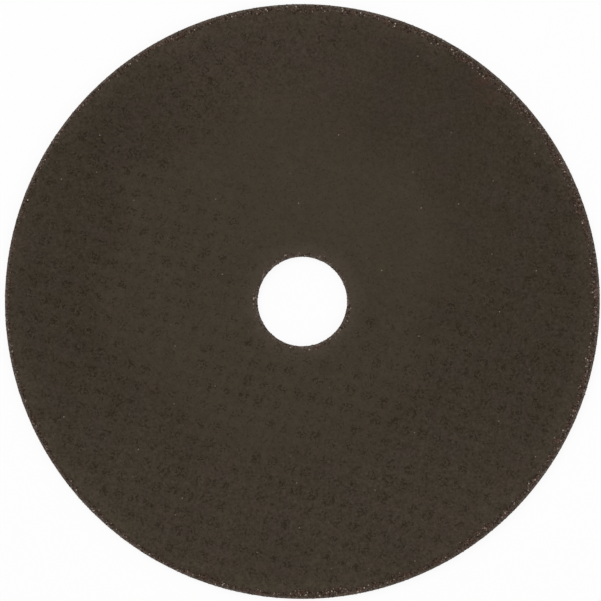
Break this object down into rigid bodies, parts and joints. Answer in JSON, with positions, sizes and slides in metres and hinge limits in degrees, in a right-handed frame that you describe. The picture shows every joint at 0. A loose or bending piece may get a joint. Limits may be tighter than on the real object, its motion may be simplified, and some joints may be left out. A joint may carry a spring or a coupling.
{
  "type": "cut-off wheel",
  "caption": "Thin flat abrasive disc with a plain arbor bore, mesh-printed facings and a bare abrasive shoulder at the rim, for cutting metal on a hand-held grinder.",
  "frame": {"origin": "centre of the bore on the lower face, where the wheel rests", "axes": "+Z is the wheel's axis, up out of the pictured face; +X is to the right in the picture and +Y is up in it"},
  "size_m": [0.107, 0.107, 0.0012],
  "materials": {
    "bonded_abrasive": "matt dark brown resin facing over glass mesh, with sparkling grain at the rim and bore"
  },
  "bodies": {
    "root": {"abrasive_disc": "bonded_abrasive"}
  },
  "joints": []
}
